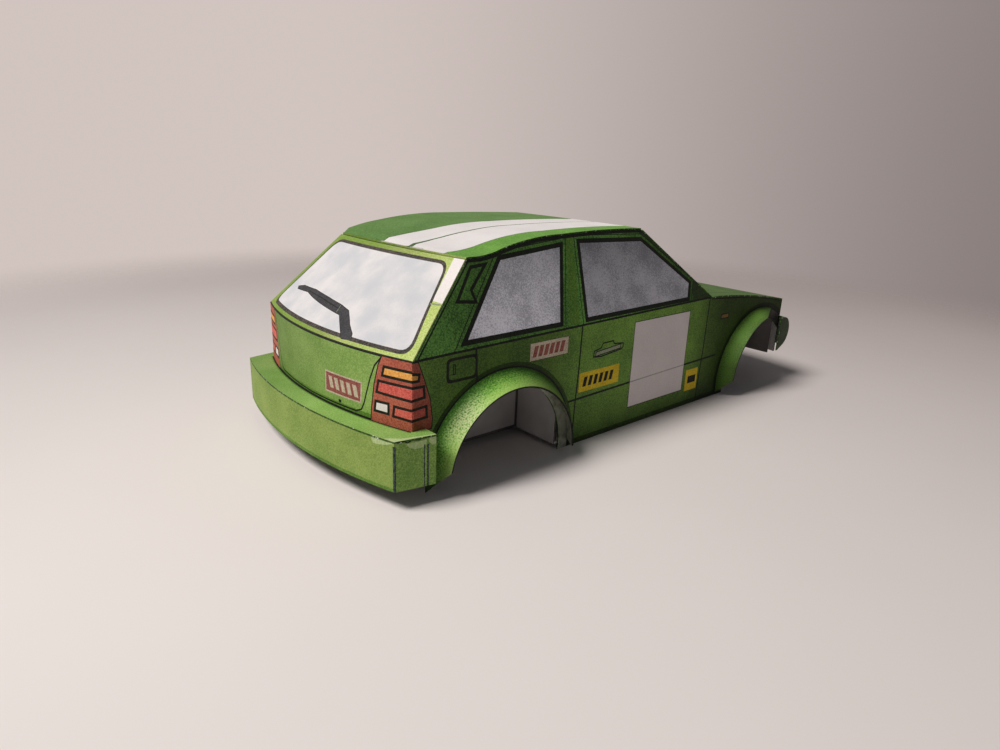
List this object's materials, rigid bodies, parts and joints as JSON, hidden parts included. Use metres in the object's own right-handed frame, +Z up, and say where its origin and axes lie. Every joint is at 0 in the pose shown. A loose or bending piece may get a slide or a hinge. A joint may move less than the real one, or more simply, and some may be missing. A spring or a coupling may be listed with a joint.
{
  "type": "paper model racing car body",
  "caption": "Folded card body shell of a three-door racing hatchback model, printed green with white roof stripes, with flared wheel arches and open wheel wells.",
  "frame": {"origin": "middle of the footprint, on the surface that the sills stand on", "axes": "+X to the nose, +Y to the car's left, +Z up"},
  "size_m": [0.0978, 0.044, 0.0308],
  "materials": {
    "printed_card": "green ink printed on matt card",
    "flare_card": "light green ink printed on matt card",
    "window_card": "grey windows and green pillars printed on matt card",
    "roof_card": "green and white stripes printed on matt card",
    "plain_card": "unprinted white card"
  },
  "bodies": {
    "root": {"body_side_left": "printed_card", "body_side_right": "printed_card", "bonnet": "printed_card", "cabin_side_left": "window_card", "cabin_side_right": "window_card", "floor_pan": "plain_card", "front_bumper": "printed_card", "front_flare_left": "flare_card", "front_flare_right": "flare_card", "front_panel": "printed_card", "front_wheel_well_left": "plain_card", "front_wheel_well_right": "plain_card", "rear_bumper": "printed_card", "rear_flare_left": "flare_card", "rear_flare_right": "flare_card", "rear_panel": "printed_card", "rear_wheel_well_left": "plain_card", "rear_wheel_well_right": "plain_card", "rear_window_panel": "window_card", "roof": "roof_card", "windscreen_panel": "window_card"}
  },
  "joints": []
}
